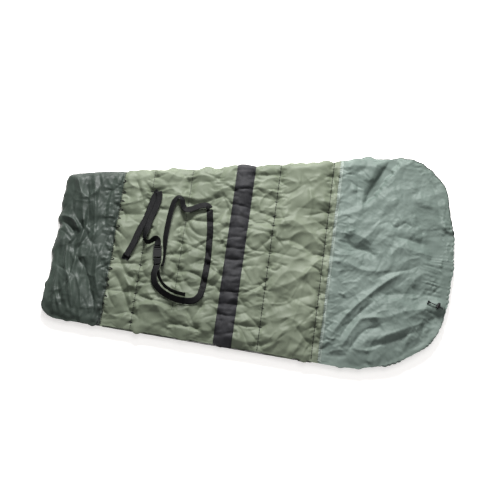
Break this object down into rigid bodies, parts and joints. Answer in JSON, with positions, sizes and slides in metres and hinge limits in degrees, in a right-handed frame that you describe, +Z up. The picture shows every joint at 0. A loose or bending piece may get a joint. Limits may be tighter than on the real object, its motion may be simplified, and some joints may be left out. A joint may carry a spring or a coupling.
{
  "type": "bivy sack",
  "caption": "Flat-lying quilted bivy sack with dark foot, rounded drawcord hood, cross band, side zip and a buckled webbing strap.",
  "frame": {"origin": "middle of the bag's box, on the surface it rests on", "axes": "+X from the foot end to the hood, +Y to the side away from the zip, +Z up"},
  "size_m": [1.9174, 1.0666, 0.0914],
  "materials": {
    "base_nylon": "matte coated nylon",
    "wadding": "polyester wadding",
    "lining_nylon": "soft nylon lining",
    "olive_nylon": "quilted nylon with a silky sheen",
    "dark_nylon": "crisp shiny nylon",
    "spruce_nylon": "silky nylon",
    "black_webbing": "woven webbing",
    "black_plastic": "moulded acetal",
    "zip_tape": "woven tape",
    "black_metal": "black enamel",
    "elastic_cord": "braided elastic cord",
    "spring_steel": "bright wire"
  },
  "bodies": {
    "bag": {"underside_shell": "base_nylon", "underside_filling": "wadding", "underside_lining": "lining_nylon", "topside_lining": "lining_nylon", "topside_filling": "wadding", "foot_filling": "wadding", "hood_filling": "wadding", "quilted_shell": "olive_nylon", "foot_cover": "dark_nylon", "hood_cover": "spruce_nylon", "foot_end_wall": "dark_nylon", "far_side_wall": "olive_nylon", "near_wall_lower": "olive_nylon", "near_wall_upper": "olive_nylon", "hood_rim_lower": "spruce_nylon", "hood_rim_upper": "spruce_nylon", "hood_piping": "dark_nylon", "foot_seam_binding": "dark_nylon", "hood_seam_strip": "olive_nylon", "cross_band": "black_webbing", "strap_sewn": "black_webbing", "strap_upper": "black_webbing", "strap_lower": "black_webbing", "strap_spare": "black_webbing", "strap_left": "black_webbing", "strap_left_tail": "black_webbing", "strap_anchor_patch": "black_webbing", "socket_loop": "black_webbing", "buckle_socket": "black_plastic", "zip_tape_lower": "zip_tape", "zip_tape_upper": "zip_tape", "zip_teeth_lower": "black_plastic", "zip_teeth_upper": "black_plastic", "zip_top_stop": "black_plastic", "zip_bottom_stop": "black_plastic", "draft_tube": "lining_nylon", "drawcord_far": "elastic_cord", "drawcord_near": "elastic_cord", "foot_loop": "black_webbing"},
    "buckle_plug": {"buckle_plug": "black_plastic", "plug_loop": "black_webbing"},
    "prong_left": {"buckle_prong_left": "black_plastic"},
    "prong_right": {"buckle_prong_right": "black_plastic"},
    "zip_slider": {"zip_slider": "black_metal"},
    "zip_pull": {"zip_pull": "black_metal"},
    "cord_lock": {"cord_lock_body": "black_plastic", "cord_lock_spring": "spring_steel"},
    "lock_button": {"cord_lock_button": "black_plastic"}
  },
  "joints": [
    {"name": "zip_travel", "type": "slide", "parent": "bag", "child": "zip_slider", "axis": [0.9971, -0.0761, 0], "range_m": [-0.952, 0]},
    {"name": "pull_swing", "type": "hinge", "parent": "zip_slider", "child": "zip_pull", "pos_m": [0.29713, -0.52506, 0.0275], "axis": [0, 0, 1], "range_deg": [0, 175]},
    {"name": "buckle_release", "type": "slide", "parent": "bag", "child": "buckle_plug", "axis": [-0.1045, 0.9945, 0], "range_m": [0, 0.045], "deforming": ["strap_left_tail"]},
    {"name": "prong_left_squeeze", "type": "hinge", "parent": "buckle_plug", "child": "prong_left", "pos_m": [-0.46028, -0.06608, 0.0685], "axis": [0, 0, 1], "range_deg": [0, 7], "stiffness_Nm_per_rad": 0.05},
    {"name": "prong_right_squeeze", "type": "hinge", "parent": "buckle_plug", "child": "prong_right", "pos_m": [-0.43243, -0.06316, 0.0685], "axis": [0, 0, 1], "range_deg": [-7, 0]},
    {"name": "lock_slide", "type": "slide", "parent": "bag", "child": "cord_lock", "axis": [-0.9272, 0.3746, 0], "range_m": [-0.002, 0.026]},
    {"name": "lock_button_press", "type": "slide", "parent": "cord_lock", "child": "lock_button", "axis": [-0.3746, -0.9272, 0], "range_m": [0, 0.004], "stiffness_N_per_m": 150, "springref_m": -0.002, "deforming": ["cord_lock_spring"]}
  ],
  "couplings": [
    {"joint": "prong_right_squeeze", "follows": "prong_left_squeeze", "ratio": -1}
  ]
}
